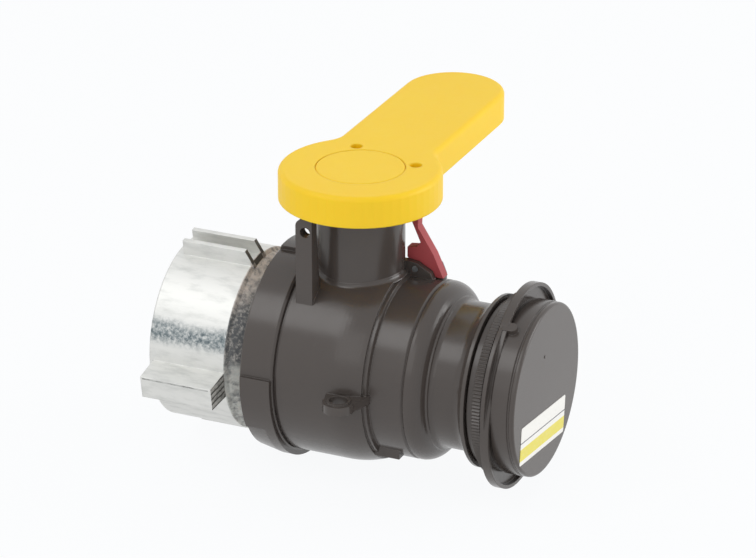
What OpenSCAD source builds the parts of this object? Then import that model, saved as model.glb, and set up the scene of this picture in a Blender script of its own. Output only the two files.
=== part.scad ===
// Quarter-turn ball valve with a loose union nut at its inlet and a screwed dust cap on its outlet.
// The pipe runs along X and the stem points up Z. X = 0 is the open face of the union nut.

/* [Flow path] */
// Radius of the flow bore
bore_r = 20; // [17:0.1:22]
// Wall of the ball round its port
ball_wall = 10; // [9.4:0.1:12]
// Free space between the ball and the cavity around it
ball_room = 1.6; // [1.2:0.1:2.5]

/* [Seats] */
// Radial wall of a seat ring
seat_w = 6.5; // [5.5:0.1:7]
// Wall of a seat behind the ball, at its inner edge
seat_back = 2.7; // [2:0.1:3.5]
// Wire diameter of the ring that backs a seat
seat_ring_d = 2.4; // [2:0.1:3]

/* [Body] */
// Wall of the body round the screwed collar
body_wall = 5.2; // [4:0.1:7]
// Wall of the body round the outlet seat
pocket_wall = 8.8; // [7:0.1:10]
// Straight length of the barrel past the stem axis
barrel_front = 4; // [2:0.1:6]
// Length of the rounded taper after the barrel
taper_len = 13.5; // [11:0.1:15]
// Radius of the taper's long curve
taper_curve_r = 36.8; // [34:0.1:45]
// Length of the raised bead that ends the taper
band_len = 1.6; // [1:0.1:2.6]
// Height of the bead over the outlet throat
band_rise = 1.7; // [1.2:0.1:2.2]
// Length of the outlet throat up to its rounded shoulder
throat_len = 14.5; // [13:0.1:16]
// Radius of the shoulder that ends the throat
shoulder_r = 7.6; // [6:0.1:8.5]
// Wall of the narrow waist round the bore
waist_wall = 9.5; // [8:0.1:10]
// Length of the waist
waist_len = 8.8; // [7:0.1:10]
// Radius of the flare from the waist to the stop flange
flare_r = 5.5; // [4.5:0.1:7]
// Height of the stop flange over the waist
flange_rise = 5.2; // [4.5:0.1:6]
// Thickness of the stop flange
flange_t = 1.4; // [1.2:0.1:2.5]
// Outside radius of the coarse thread, on the outlet and on the tank's neck
thread_r = 29.6; // [28.5:0.1:30.5]
// Height of the coarse thread over its root
thread_h = 1.3; // [0.8:0.1:1.8]
// Length of the outlet spigot from the stop flange
spigot_len = 15.6; // [15:0.1:19]

/* [Inlet collar] */
// Length of the collar that shows
collar_len = 14.1; // [12:0.1:16]
// Distance from the stem axis to the face where the collar meets the body
split_x = 19.2; // [18:0.1:20.5]
// Wall of the sleeve that screws into the body
sleeve_wall = 4.2; // [3.8:0.1:5]
// Height of the collar over the barrel
collar_step = 1.1; // [0.6:0.1:2]
// Height of the two wrench pads over the collar
pad_rise = 1.7; // [1:0.1:2.5]
// Angle that each wrench pad covers
pad_angle = 100; // [80:1:120]
// Wall of the inlet spigot that the nut turns on
inlet_wall = 4; // [3.4:0.1:4.5]

/* [Union nut] */
// Wall of the nut round the roots of its thread
nut_wall = 6.8; // [6:0.1:8]
// Length of the round part of the nut
nut_len = 34.6; // [33:0.1:38]
// Length of the cast shoulder behind it
nut_shoulder = 7.4; // [6.5:0.1:8]
// Radius at the end of the cast shoulder
nut_end_r = 32; // [30:0.1:34]
// Thickness of the lip that holds the nut on the spigot
nut_lip = 8; // [6.5:0.1:9]
// Height of the solid drive lugs
lug_rise = 11.3; // [9:0.1:13]
// Width of the solid drive lugs at the tip
lug_w = 9.4; // [8:0.1:11]
// Height of the twin fins
fin_rise = 6; // [4:0.1:8]
// Distance of a fin from the middle of its pair
fin_gap = 4.3; // [3.5:0.1:6]
// Thickness of a fin
fin_t = 2; // [1.5:0.1:2.6]
// Turn of the lugs about the pipe
lug_turn = 9; // [0:1:20]

/* [Stem and tower] */
// Radius of the stem
stem_r = 10; // [9.5:0.1:11]
// Wall of the tower round the stem
tower_wall = 7.55; // [6.8:0.05:8.5]
// Height of the handle's lower face over the pipe axis
handle_z = 68.3; // [66:0.1:72]
// Width across the flats of the square drive
drive_af = 13; // [12.4:0.1:13.4]
// Width of the tang in the ball's slot
tang_w = 10; // [8:0.1:11]
// Radius of the stem's inner flange
stem_flange_r = 11.6; // [11.4:0.1:11.8]

/* [Handle] */
// Radius of the handle's round hub
hub_r = 32.3; // [31.4:0.1:34]
// Thickness of the handle
handle_h = 12.6; // [11.6:0.1:14]
// Half width of the grip
grip_w = 20.95; // [18:0.05:23]
// Reach of the grip's tip from the stem axis
grip_reach = 113.9; // [100:0.1:125]
// Radius of the hollow corner between the hub and the grip
blend_r = 10; // [7:0.1:14]
// Rounding of the handle's upper edge
edge_r = 2; // [1:0.1:2.4]
// Thickness of the handle's outer wall
handle_wall = 3; // [2.4:0.1:3.2]
// Thickness of the handle's top
handle_top = 3.8; // [3.4:0.1:4.4]
// Diameter of the two lock holes
lock_hole_d = 4.9; // [4:0.1:5.4]
// Angle of the lock hole that the latch stands under
lock_angle = 28.4; // [24:0.1:32]
// Radius of the round cover in the hub
cover_r = 17.7; // [15:0.1:18.4]
// Angle that the handle turns from closed to open
quarter_turn = 90; // [90:1:90]

/* [Latch] */
// Distance from the tower's wall to the middle of the latch tip
latch_standoff = 4.05; // [3.7:0.05:4.6]
// Width of the latch across its plate
latch_w = 4.4; // [3.6:0.1:5]
// Height of the latch pivot over the pipe axis
latch_pivot_z = 39.1; // [38.9:0.1:40.5]
// Radius of the latch pin
latch_pin_r = 1.25; // [1:0.05:1.5]
// Thickness of the two ears that hold the pin
ear_t = 2.7; // [2:0.1:3.5]

/* [Seal post and support lugs] */
// Width of the seal post along the pipe
post_w = 7; // [6:0.1:8]
// Depth of the seal post at its hole
post_d = 4.6; // [4:0.1:6]
// Depth of the seal post at its foot
post_base = 8; // [7:0.1:10]
// Radius of the wire hole through the post
post_hole_r = 2.1; // [1.5:0.1:2.4]
// Distance between the two support holes
support_pitch = 92; // [90:0.1:96]
// Radius of a support hole
support_hole_r = 3.6; // [3:0.1:4.2]
// Thickness of a support lug
support_t = 3.6; // [2.5:0.1:5]

/* [Dust cap] */
// Wall of the cap round the outlet thread
cap_wall = 5; // [4.2:0.1:5.4]
// Thickness of the cap's end
cap_end = 3.2; // [2.5:0.1:4]
// Thickness of the gasket in the cap
cap_gasket_t = 1.8; // [1.2:0.1:2.2]
// Thickness of the cap's skirt flange
skirt_t = 1.6; // [1.2:0.1:2.2]
// Height of the cap's two ears over its wall
ear_rise = 6.2; // [5:0.1:8]
// Depth of the raised rim round an ear, along the pipe
ear_depth = 3.4; // [2.8:0.1:4]
// Angle of the ears about the pipe
ear_angle = 117; // [100:1:140]

/* [Tamper ring] */
// Width of the toothed band
band_w = 3.5; // [3:0.1:4]
// Number of teeth round the band
band_teeth = 160; // [120:2:180]
// Height of the teeth
tooth_h = 0.6; // [0.4:0.05:0.7]
// Width of the smooth neck beside the teeth
smooth_w = 3.3; // [3:0.1:4]

/* [Hidden] */
$fn = 96;

// Clearances
fit_gap = 0.1;
slack = 0.2;
turn_gap = 0.5;
seat_gap = 0.15;
overlap = 0.5;
far = 200;

// Colours
black_plastic = "#4b4745";
grey_plastic = "#6a6663";
zinc = "#d5d6d4";
yellow = "#f6cb35";
red = "#a8353c";
rubber = "#2b2a2a";
fluoro = "#efeee8";
steel = "#b8bbbe";

// Radii worked out from the ball outwards
ball_r = bore_r + ball_wall;
seat_in_r = bore_r + 0.5;
seat_out_r = seat_in_r + seat_w;
pocket_r = seat_out_r + slack;
cavity_r = ball_r + ball_room;
sleeve_r = cavity_r + sleeve_wall;
socket_r = sleeve_r + slack;
barrel_r = socket_r + body_wall;
collar_r = barrel_r + collar_step;
pad_r = collar_r + pad_rise;
throat_r = pocket_r + pocket_wall;
band_r = throat_r + band_rise;
waist_r = bore_r + waist_wall;
flange_r = waist_r + flange_rise;
spigot_r = thread_r;
thread_root_r = thread_r - thread_h;
nut_bore_r = thread_r + 0.6;
nut_r = nut_bore_r + nut_wall;

// Places along the pipe, from the stem axis
seat_face_x = sqrt(ball_r * ball_r - seat_in_r * seat_in_r);
seat_rear_x = seat_face_x + seat_back;
pocket_x = seat_rear_x + seat_ring_d + slack;
taper_x = barrel_front + taper_len;
band_x = taper_x + band_len;
throat_x = band_x + band_rise / 4 + throat_len;
waist_x = throat_x + shoulder_r + 1.5;
flare_x = waist_x + waist_len;
flange_x = flare_x + flare_r;
spigot_x = flange_x + flange_t;
outlet_x = spigot_x + spigot_len;
collar_x = split_x + collar_len;
nut_rear_x = collar_x + turn_gap;
nut_face_x = nut_rear_x + nut_shoulder + nut_len;
stem_x = nut_face_x;

// Inlet spigot, its snap ring and gasket
inlet_r = bore_r + inlet_wall;
lip_x = nut_rear_x + nut_lip;
snap_t = 2.6;
snap_in_r = inlet_r - 1.5;
snap_out_r = nut_bore_r - 1;
snap_x = lip_x + turn_gap;
inlet_x = snap_x + snap_t + 1;
gasket_t = 3;

// Heights of the stem's parts over the pipe axis
slot_floor = bore_r + 3.2;
stem_flange_z = ball_r + 0.8;
stem_flange_t = 3;
washer_t = 1.5;
stem_pocket_r = stem_flange_r + slack;
stem_pocket_z = stem_flange_z + stem_flange_t + washer_t + slack;
sleeve_web = 0.8;
sleeve_len = split_x - stem_pocket_r - sleeve_web - slack;
stem_bore_r = stem_r + fit_gap;
tower_r = stem_bore_r + tower_wall;
tower_z = handle_z - turn_gap;
bush_len = 10;
bush_r = stem_r + 3;
tang_len = 20;
ring_groove = 2;
stem_ring_d = ring_groove - fit_gap;

// Handle
handle_top_z = handle_z + handle_h;
hollow_z = handle_top_z - handle_top;
cover_t = 1.5;
ledge_z = handle_z + 6.9;
stem_top_z = ledge_z - 0.3;
screw_r = 3;
screw_len = 16;
head_r = 5;
head_h = 2.2;
plate_r = 8.8;
plate_t = 1.4;
boss_r = drive_af / 2 * sqrt(2) + 4.5;
grip_end_y = grip_reach - grip_w;
lock_r = tower_r + latch_standoff;
stop_angle = 240;
stop_half = 10;
stop_h = 3;
stop_in_r = boss_r + turn_gap;
rib_t = 1.8;

// Latch, in the plane of the pipe and the stem
latch_x = lock_r * cos(lock_angle);
latch_y = lock_r * sin(lock_angle);
latch_in_x = latch_x - 1.1;
pivot_x = latch_x + 2;
latch_boss_r = 2.5;
latch_tip_z = hollow_z - 3;
spring_wire = 0.6;
spring_gap = 2.6;
ear_near_y = latch_y - latch_w / 2 - 0.3;
ear_far_y = latch_y + latch_w / 2 + spring_gap;

// Dust cap
cap_in_r = spigot_r + 0.3;
cap_r = cap_in_r + cap_wall;
cap_face_x = outlet_x + slack + cap_gasket_t + cap_end;
ring_x = spigot_x + 0.6;
ring_end_x = ring_x + smooth_w + band_w;
skirt_x = ring_end_x + turn_gap;
band_in_r = spigot_r + 0.3;
snap_lip = 0.9;
lip_from = 1;
lip_to = 2.8;
smooth_r = cap_r - 1.9;
skirt_r = cap_r + 2;
ear_reach = cap_r + ear_rise;
ear_lobe_r = cap_r - 1.6;
ear_rim = 1.5;

// Points on an arc in a profile, from one angle to another
function arc(cx, cy, r, from, to, n) =
    [for (i = [0:n]) let (a = from + (to - from) * i / n) [cx + r * cos(a), cy + r * sin(a)]];

// Places its children with the pipe axis on X and the stem axis at the origin's X
module at_stem() translate([stem_x, 0, 0]) children();

// Turns a profile of [place along the pipe, radius] points about the pipe axis
module turned(points) rotate([0, 90, 0]) rotate_extrude() polygon([for (p = points) [p[1], p[0]]]);

// A bar or a hole along the pipe axis between two places
module rod_x(r, from, to) translate([from, 0, 0]) rotate([0, 90, 0]) cylinder(r = r, h = to - from);

// A flat ring along the pipe axis
module flat_ring(r_out, r_in, from, to) difference() {
    rod_x(r_out, from, to);
    rod_x(r_in, from - 1, to + 1);
}

// A round ring about the pipe axis
module torus_x(r, d, x) translate([x, 0, 0]) rotate([0, 90, 0])
    rotate_extrude() translate([r, 0]) circle(d = d);

// A pin or hole across the pipe, along Y
module rod_y(r, x, z, from, to) translate([x, from, z]) rotate([-90, 0, 0]) cylinder(r = r, h = to - from);

// A sector of a ring about the stem
module sector(r_in, r_out, middle, half, z, h) translate([0, 0, z]) rotate([0, 0, middle - half])
    rotate_extrude(angle = 2 * half) translate([r_in, 0]) square([r_out - r_in, h]);

// Body

// Shadow groove beside the collar and groove before the shoulder
groove_w = 1.2;
groove_d = 0.8;
bead_d = 0.7;

body_profile = concat(
    [[-split_x, 0], [-split_x, barrel_r - groove_d], [groove_w - split_x, barrel_r - groove_d],
     [groove_w - split_x, barrel_r]],
    arc(barrel_front, barrel_r - taper_curve_r, taper_curve_r, 90, 90 - asin(taper_len / taper_curve_r), 8),
    [[taper_x, band_r], [band_x, band_r], [band_x + band_rise / 4, throat_r],
     [throat_x - 2 * bead_d, throat_r], [throat_x - bead_d, throat_r - bead_d]],
    arc(throat_x, throat_r - shoulder_r, shoulder_r, 90, 20, 8),
    arc(waist_x + 0.6, waist_r + 2, 2, 200, 270, 4),
    arc(flare_x, waist_r + flare_r, flare_r, 270, 325, 6),
    [[flange_x - 0.4, flange_r - 0.4], [flange_x, flange_r], [spigot_x, flange_r], [spigot_x, spigot_r],
     [ring_x + lip_from - slack, spigot_r], [ring_x + lip_from - slack, spigot_r - snap_lip],
     [ring_x + lip_to + slack, spigot_r - snap_lip], [ring_x + lip_to + slack, spigot_r],
     [ring_end_x, spigot_r], [ring_end_x + thread_h / 2, thread_root_r], [outlet_x - 0.8, thread_root_r],
     [outlet_x, thread_root_r - 0.8], [outlet_x, 0]]);

post_x = -12;
post_front_y = -27.1;
post_z = tower_z - 2 * turn_gap;
post_hole_x = post_x + 0.55;
post_hole_z = post_z - 5.4;
post_round = 3;

// Side view of the seal post, deeper towards its foot
post_side = [[post_front_y, ball_r / 2], [post_front_y, post_z], [post_front_y + post_d, post_z],
    [post_front_y + post_d, post_hole_z - 5], [post_front_y + post_base, ball_r],
    [post_front_y + post_base, ball_r / 2]];

// A post beside the tower with a rounded upper corner and a hole for a seal wire
module seal_post() difference() {
    intersection() {
        translate([post_x - post_w / 2, 0, 0]) rotate([90, 0, 90]) linear_extrude(post_w) polygon(post_side);
        translate([post_x - post_w / 2, post_front_y - 1, 0]) union() {
            cube([far, post_base + 2, post_z - post_round]);
            translate([post_round, 0, 0]) cube([far, post_base + 2, far]);
            rod_y(post_round, post_round, post_z - post_round, 0, post_base + 2);
        }
    }
    rod_y(post_hole_r, post_hole_x, post_hole_z, post_front_y - 1, post_front_y + post_d + 1);
}

// Two short ribs stiffen the throat from below
rib_y = 25.5;
rib_z = 29.3;
rib_len = 10.5;
rib_root = 8;

module throat_rib() translate([taper_x, -rib_y, -rib_z]) cube([rib_len, rib_root, rib_root]);

support_x = 11.2;
support_eye = 6.3;
support_root = 9;
support_boss_r = support_hole_r + 1.2;
support_boss_h = 0.6;
support_root_y = support_pitch / 2 - band_r + 1;

// An eye on the side of the barrel that takes a support bolt
module support_lug() difference() {
    translate([support_x, -support_pitch / 2, -support_t / 2]) union() {
        cylinder(r = support_eye, h = support_t);
        translate([0, 0, -support_boss_h]) cylinder(r = support_boss_r, h = support_t + 2 * support_boss_h);
        linear_extrude(support_t) polygon([[-support_eye + 0.3, 0], [support_eye - 0.3, 0],
            [support_root, support_root_y], [-support_root, support_root_y]]);
        linear_extrude(support_t) translate([-support_root, support_root_y]) square([2 * support_root, 4]);
    }
    translate([support_x, -support_pitch / 2, -far / 2]) cylinder(r = support_hole_r, h = far);
}

ear_top_r = 2.6;

// One of the two ears that carry the latch pin
module latch_ear(y) difference() {
    union() {
        rod_y(ear_top_r, pivot_x, latch_pivot_z, y, y + ear_t);
        translate([0, y + ear_t, 0]) rotate([90, 0, 0]) linear_extrude(ear_t)
            polygon([[pivot_x - 7, ball_r / 2], [pivot_x - 7, latch_pivot_z + 3],
                [pivot_x - 2.9, latch_pivot_z + 3], [pivot_x + 0.6, latch_pivot_z + 2.5],
                [pivot_x + 6.6, throat_r + 2.3], [pivot_x + 8.4, throat_r - 2], [pivot_x + 8.4, ball_r / 2]]);
    }
    rod_y(latch_pin_r + fit_gap / 2, pivot_x, latch_pivot_z, y - 1, y + ear_t + 1);
}

module valve_body() color(black_plastic) at_stem() difference() {
    union() {
        turned(body_profile);
        translate([0, 0, ball_r / 2]) cylinder(r = tower_r, h = tower_z - ball_r / 2);
        sector(stop_in_r, tower_r - slack, stop_angle, stop_half, tower_z - overlap, stop_h + overlap);
        seal_post();
        support_lug();
        mirror([0, 1, 0]) support_lug();
        throat_rib();
        mirror([0, 1, 0]) throat_rib();
        latch_ear(ear_near_y - ear_t);
        latch_ear(ear_far_y);
    }
    rod_x(socket_r, -split_x - 1, sleeve_len + slack - split_x);
    rod_x(cavity_r, -split_x, barrel_front);
    sphere(r = cavity_r - slack);
    rod_x(pocket_r, 0, pocket_x);
    rod_x(bore_r, 0, outlet_x + 1);
    cylinder(r = stem_pocket_r, h = stem_pocket_z);
    cylinder(r = stem_bore_r, h = tower_z + 1);
    translate([0, 0, tower_z - bush_len]) cylinder(r = bush_r + fit_gap / 2, h = bush_len + 1);
}

// Inlet collar with its sleeve and spigot

collar_ring_w = 2.8;
collar_ring_x = (sleeve_len - collar_ring_w) / 2 - split_x;
collar_ring_d = 2.4;
sleeve_groove_r = sleeve_r - 2.3;

snap_groove_x = snap_x + snap_t + slack / 2;
snap_groove_end = snap_x - slack / 2;
collar_ring_end = collar_ring_x + collar_ring_w;

collar_profile = [[-inlet_x, 0], [-inlet_x, inlet_r], [-snap_groove_x, inlet_r],
    [-snap_groove_x, snap_in_r], [-snap_groove_end, snap_in_r], [-snap_groove_end, inlet_r],
    [-collar_x, inlet_r], [-collar_x, collar_r - 0.6], [0.6 - collar_x, collar_r], [-split_x - 0.8, collar_r],
    [-split_x, collar_r - 0.8], [-split_x, sleeve_r], [collar_ring_x, sleeve_r],
    [collar_ring_x, sleeve_groove_r], [collar_ring_end, sleeve_groove_r], [collar_ring_end, sleeve_r],
    [sleeve_len - split_x, sleeve_r], [sleeve_len - split_x, 0]];

// Start angle of the lower wrench pad about the pipe, the recess between the two pads,
// and the part of each pad that runs at full length
pad_start = 266;
recess_angle = 80;
pad_full = 32;
pad_ramp = 9;
pad_inset = 0.4;
pad_len = collar_len - 2 * pad_inset;

// A profile of [radius, place from the pad's inlet edge] points swept round part of the collar
module swept_pad(start, angle, points) translate([pad_inset - collar_x, 0, 0]) rotate([0, 90, 0])
    rotate([0, 0, start]) rotate_extrude(angle = angle) polygon(points);

// A wrench pad with a stretch whose inlet edge slopes down to the collar
module wrench_pad(start, ramp_start) difference() {
    swept_pad(start, pad_angle, [[collar_r - pad_rise, 0], [collar_r, 0], [pad_r, pad_rise / 3],
        [pad_r, pad_len], [collar_r - pad_rise, pad_len]]);
    swept_pad(ramp_start, pad_angle - pad_full + 1, [[collar_r - pad_rise, -pad_ramp],
        [pad_r + pad_rise, 2 * pad_ramp], [pad_r + pad_rise, -pad_ramp]]);
}

module inlet_collar() color(black_plastic) at_stem() difference() {
    union() {
        turned(collar_profile);
        wrench_pad(pad_start, pad_start + pad_full);
        wrench_pad(pad_start - recess_angle - pad_angle, pad_start - recess_angle - pad_angle - 1);
    }
    rod_x(cavity_r, -split_x, far);
    rod_x(pocket_r, -pocket_x, 0);
    rod_x(bore_r, -far, 0);
}

module collar_o_ring() color(rubber) at_stem()
    torus_x((sleeve_groove_r + socket_r) / 2, collar_ring_d - slack, collar_ring_x + collar_ring_w / 2);

// Union nut

lug_end = 32.6;
lug_start = 1.9;
fin_start = 3.4;
lug_bevel = 1.7;
fin_bevel = 3.5;
rim_bevel = 1.2;

// Depth of the threaded wall, and the wider room behind it for the gasket and the retaining ring
thread_x = nut_face_x - inlet_x - gasket_t - turn_gap;
relief_r = nut_bore_r + turn_gap;

nut_end = nut_len + nut_shoulder;

nut_profile = [[0, nut_bore_r], [0, nut_r - 0.6], [0.6, nut_r], [nut_len - rim_bevel, nut_r],
    [nut_len, nut_r - rim_bevel], [nut_end, nut_end_r], [nut_end, inlet_r + turn_gap],
    [nut_end - nut_lip, inlet_r + turn_gap], [nut_end - nut_lip, relief_r],
    [thread_x, relief_r], [thread_x, nut_bore_r]];

// A solid drive lug with a bevelled rear end, pointing along -Y
module drive_lug() intersection() {
    rotate([90, 0, 90]) linear_extrude(lug_start + lug_end) polygon([
        [-nut_r - lug_rise, -lug_w / 2], [-nut_r - lug_rise, lug_w / 2], [2 - nut_r, lug_w / 2 + 0.8],
        [2 - nut_r, -lug_w / 2 - 0.8]]);
    translate([0, 0, -far / 2]) linear_extrude(far) polygon([[lug_start, -nut_r - lug_rise - 1],
        [lug_start + lug_end - lug_bevel, -nut_r - lug_rise - 1], [lug_start + lug_end, 0],
        [lug_start, 0]]);
}

// A pair of thin fins, pointing along -Y
module twin_fins() for (side = [-1, 1]) translate([0, 0, side * fin_gap - fin_t / 2])
    linear_extrude(fin_t) polygon([[fin_start, 2 - nut_r], [fin_start, -nut_r - fin_rise],
        [lug_start + lug_end - fin_bevel, -nut_r - fin_rise], [lug_start + lug_end, 0.8 - nut_r],
        [lug_start + lug_end, 2 - nut_r]]);

module union_nut() color(zinc) union() {
    turned(nut_profile);
    for (turn = [0, 180]) {
        rotate([lug_turn + turn, 0, 0]) drive_lug();
        rotate([lug_turn + 270 + turn, 0, 0]) twin_fins();
    }
}

module nut_retaining_ring() color(fluoro) at_stem()
    flat_ring(snap_out_r, snap_in_r + fit_gap, -snap_x - snap_t, -snap_x);

module inlet_gasket() color(rubber) at_stem()
    flat_ring(nut_bore_r - turn_gap, bore_r, -inlet_x - gasket_t, -inlet_x);

// Ball, seats and their backing rings

module ball() color(grey_plastic) at_stem() difference() {
    sphere(r = ball_r);
    rod_y(bore_r, 0, 0, -far / 2, far / 2);
    translate([-far / 2, -tang_w / 2 - slack, slot_floor]) cube([far, tang_w + 2 * slack, far]);
}

// A seat on the outlet side, hollowed to the ball
module seat() rotate([0, 90, 0]) rotate_extrude() difference() {
    translate([seat_in_r, seat_face_x - seat_w]) square([seat_w, seat_w + seat_back]);
    circle(r = ball_r + seat_gap);
}

module inlet_seat() color(fluoro) at_stem() mirror([1, 0, 0]) seat();

module outlet_seat() color(fluoro) at_stem() seat();

seat_ring_r = (seat_in_r + seat_out_r) / 2;

module inlet_seat_ring() color(rubber) at_stem()
    torus_x(seat_ring_r, seat_ring_d, -(seat_rear_x + pocket_x) / 2);

module outlet_seat_ring() color(rubber) at_stem()
    torus_x(seat_ring_r, seat_ring_d, (seat_rear_x + pocket_x) / 2);

// Stem and its bearings

stem_ring_z = [stem_pocket_z + 5, stem_pocket_z + 10];

module stem() color(grey_plastic) at_stem() difference() {
    union() {
        translate([-tang_len / 2, -tang_w / 2, slot_floor + 0.4])
            cube([tang_len, tang_w, stem_flange_z + 1 - slot_floor]);
        translate([0, 0, stem_flange_z]) cylinder(r = stem_flange_r, h = stem_flange_t);
        translate([0, 0, stem_flange_z]) cylinder(r = stem_r, h = tower_z - stem_flange_z);
        translate([-drive_af / 2, -drive_af / 2, tower_z - 1])
            cube([drive_af, drive_af, stem_top_z + 1 - tower_z]);
    }
    for (z = stem_ring_z) translate([0, 0, z]) difference() {
        cylinder(r = stem_r + 1, h = ring_groove + slack);
        translate([0, 0, -1]) cylinder(r = stem_r - ring_groove, h = ring_groove + 3);
    }
    translate([0, 0, stem_top_z - screw_len - 2]) cylinder(r = screw_r, h = far);
}

module stem_o_rings() color(rubber) at_stem() for (z = stem_ring_z)
    translate([0, 0, z + (ring_groove + slack) / 2]) rotate_extrude()
        translate([stem_r - ring_groove / 2, 0]) circle(d = stem_ring_d);

module thrust_washer() color(fluoro) at_stem() translate([0, 0, stem_flange_z + stem_flange_t + slack / 2])
    difference() {
        cylinder(r = stem_flange_r, h = washer_t);
        translate([0, 0, -1]) cylinder(r = stem_r + fit_gap, h = washer_t + 2);
    }

module stem_bush() color(fluoro) at_stem() translate([0, 0, tower_z - bush_len]) difference() {
    cylinder(r = bush_r, h = bush_len);
    translate([0, 0, -1]) cylinder(r = stem_r + fit_gap / 2, h = bush_len + 2);
}

// Handle

// Outline of the handle, moved inwards by a margin: hub, hollow corners, sides and round end
function blend_y() = sqrt(pow(hub_r + blend_r, 2) - pow(grip_w + blend_r, 2));
function blend_a() = atan2(blend_y(), grip_w + blend_r);
function half_outline(m) = concat(
    arc(0, 0, hub_r - m, -90, blend_a(), 20),
    arc(grip_w + blend_r, blend_y(), blend_r + m, 180 + blend_a(), 180, 6),
    arc(0, grip_end_y, grip_w - m, 0, 90, 14));
function outline(m) = let (right = half_outline(m), n = len(right))
    concat(right, [for (i = [n - 2:-1:1]) [-right[i][0], right[i][1]]]);

// A closed skin through rings of equal point counts
module skin(rings) {
    n = len(rings[0]);
    last = (len(rings) - 1) * n;
    polyhedron(
        points = [for (ring = rings) each ring],
        faces = concat([[for (i = [0:n - 1]) i]],
            [for (k = [0:len(rings) - 2], i = [0:n - 1])
                [k * n + i, (k + 1) * n + i, (k + 1) * n + (i + 1) % n, k * n + (i + 1) % n]],
            [[for (i = [n - 1:-1:0]) last + i]]),
        convexity = 6);
}

function lifted(points, z) = [for (p = points) [p[0], p[1], z]];

// The handle's outer form with its upper edge rounded
module handle_form() skin(concat(
    [lifted(outline(0.2), handle_z), lifted(outline(0), handle_z + 0.2)],
    [for (a = [0:15:90]) lifted(outline(edge_r * (1 - cos(a))), handle_top_z - edge_r * (1 - sin(a)))]));

// Ribs in the hollow of the hub, clear of the latch's path and of the stop
hub_rib_angles = [160, 195, 275, 310, 345];
stop_rib_half = 4;

module hub_ribs() {
    for (a = hub_rib_angles) rotate([0, 0, a]) translate([tower_r + 2, -rib_t / 2, handle_z + 3])
        cube([hub_r - handle_wall / 2 - tower_r - 2, rib_t, hollow_z + overlap - handle_z - 3]);
    for (a = [stop_angle - stop_half - stop_rib_half - 1,
              stop_angle + quarter_turn + stop_half + stop_rib_half + 1])
        sector(boss_r - 1, tower_r + 1, a, stop_rib_half, handle_z + turn_gap,
            hollow_z + overlap - handle_z - turn_gap);
}

grip_rib_pitch = 18;

module grip_ribs() for (i = [0:3])
    translate([-grip_w + handle_wall / 2, hub_r + 4 + i * grip_rib_pitch, handle_z + 2])
        cube([2 * grip_w - handle_wall, rib_t, hollow_z + overlap - handle_z - 2]);

module handle() color(yellow) at_stem() difference() {
    union() {
        difference() {
            handle_form();
            translate([0, 0, handle_z - 1]) linear_extrude(hollow_z + 1 - handle_z)
                polygon(outline(handle_wall));
        }
        translate([0, 0, handle_z]) cylinder(r = boss_r, h = hollow_z + overlap - handle_z);
        hub_ribs();
        grip_ribs();
    }
    translate([-drive_af / 2 - fit_gap, -drive_af / 2 - fit_gap, handle_z - 1])
        cube([drive_af + 2 * fit_gap, drive_af + 2 * fit_gap, ledge_z + 1 - handle_z]);
    translate([0, 0, ledge_z]) cylinder(r = plate_r + slack, h = far);
    translate([0, 0, handle_top_z - cover_t - fit_gap]) cylinder(r = cover_r + fit_gap, h = far);
    for (a = [lock_angle, lock_angle + quarter_turn]) rotate([0, 0, a]) translate([lock_r, 0, handle_z])
        cylinder(d = lock_hole_d, h = far);
}

module handle_washer() color(steel) at_stem() translate([0, 0, ledge_z]) difference() {
    cylinder(r = plate_r, h = plate_t);
    translate([0, 0, -1]) cylinder(r = screw_r + slack, h = plate_t + 2);
}

hex_af = 5;

module handle_screw() color(steel) at_stem() difference() {
    union() {
        translate([0, 0, stem_top_z - screw_len])
            cylinder(r = screw_r - fit_gap, h = ledge_z + plate_t + screw_len - stem_top_z);
        translate([0, 0, ledge_z + plate_t]) cylinder(r = head_r, h = head_h);
    }
    translate([0, 0, ledge_z + plate_t + 0.6]) cylinder(d = hex_af / cos(30), h = head_h, $fn = 6);
}

module hub_cover() color(yellow) at_stem() translate([0, 0, handle_top_z - cover_t]) rotate_extrude()
    polygon([[0, 0], [cover_r, 0], [cover_r, cover_t - 0.5], [cover_r - 0.5, cover_t], [0, cover_t]]);

// Latch, its pin and spring

latch_web_x = latch_in_x - 1.4;
latch_outline = [[pivot_x - 2.4, latch_pivot_z], [latch_web_x, latch_pivot_z + 3.5],
    [latch_web_x, latch_pivot_z + 7.6], [pivot_x - 0.6, latch_pivot_z + 8.1],
    [pivot_x + 1.1, latch_pivot_z + 10.4], [latch_in_x, latch_pivot_z + 19.8], [latch_in_x, latch_tip_z],
    [latch_in_x + 2, latch_tip_z], [latch_in_x + 3.2, latch_pivot_z + 20.4],
    [latch_in_x + 3, latch_pivot_z + 16.6], [pivot_x + 6.7, latch_pivot_z + 5.8],
    [pivot_x + 10.9, latch_pivot_z - 3.5], [pivot_x + 6.4, latch_pivot_z - 3.4],
    [pivot_x + 1.6, latch_pivot_z - 1.8]];

module lock_latch() color(red) at_stem() difference() {
    union() {
        translate([0, latch_y + latch_w / 2, 0]) rotate([90, 0, 0])
            linear_extrude(latch_w) polygon(latch_outline);
        rod_y(latch_boss_r, pivot_x, latch_pivot_z, latch_y - latch_w / 2, latch_y + latch_w / 2);
    }
    rod_y(latch_pin_r + fit_gap / 2, pivot_x, latch_pivot_z, latch_y - latch_w, latch_y + latch_w);
}

module latch_pin() color(steel) at_stem()
    rod_y(latch_pin_r, pivot_x, latch_pivot_z, ear_near_y - ear_t, ear_far_y + ear_t);

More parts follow.
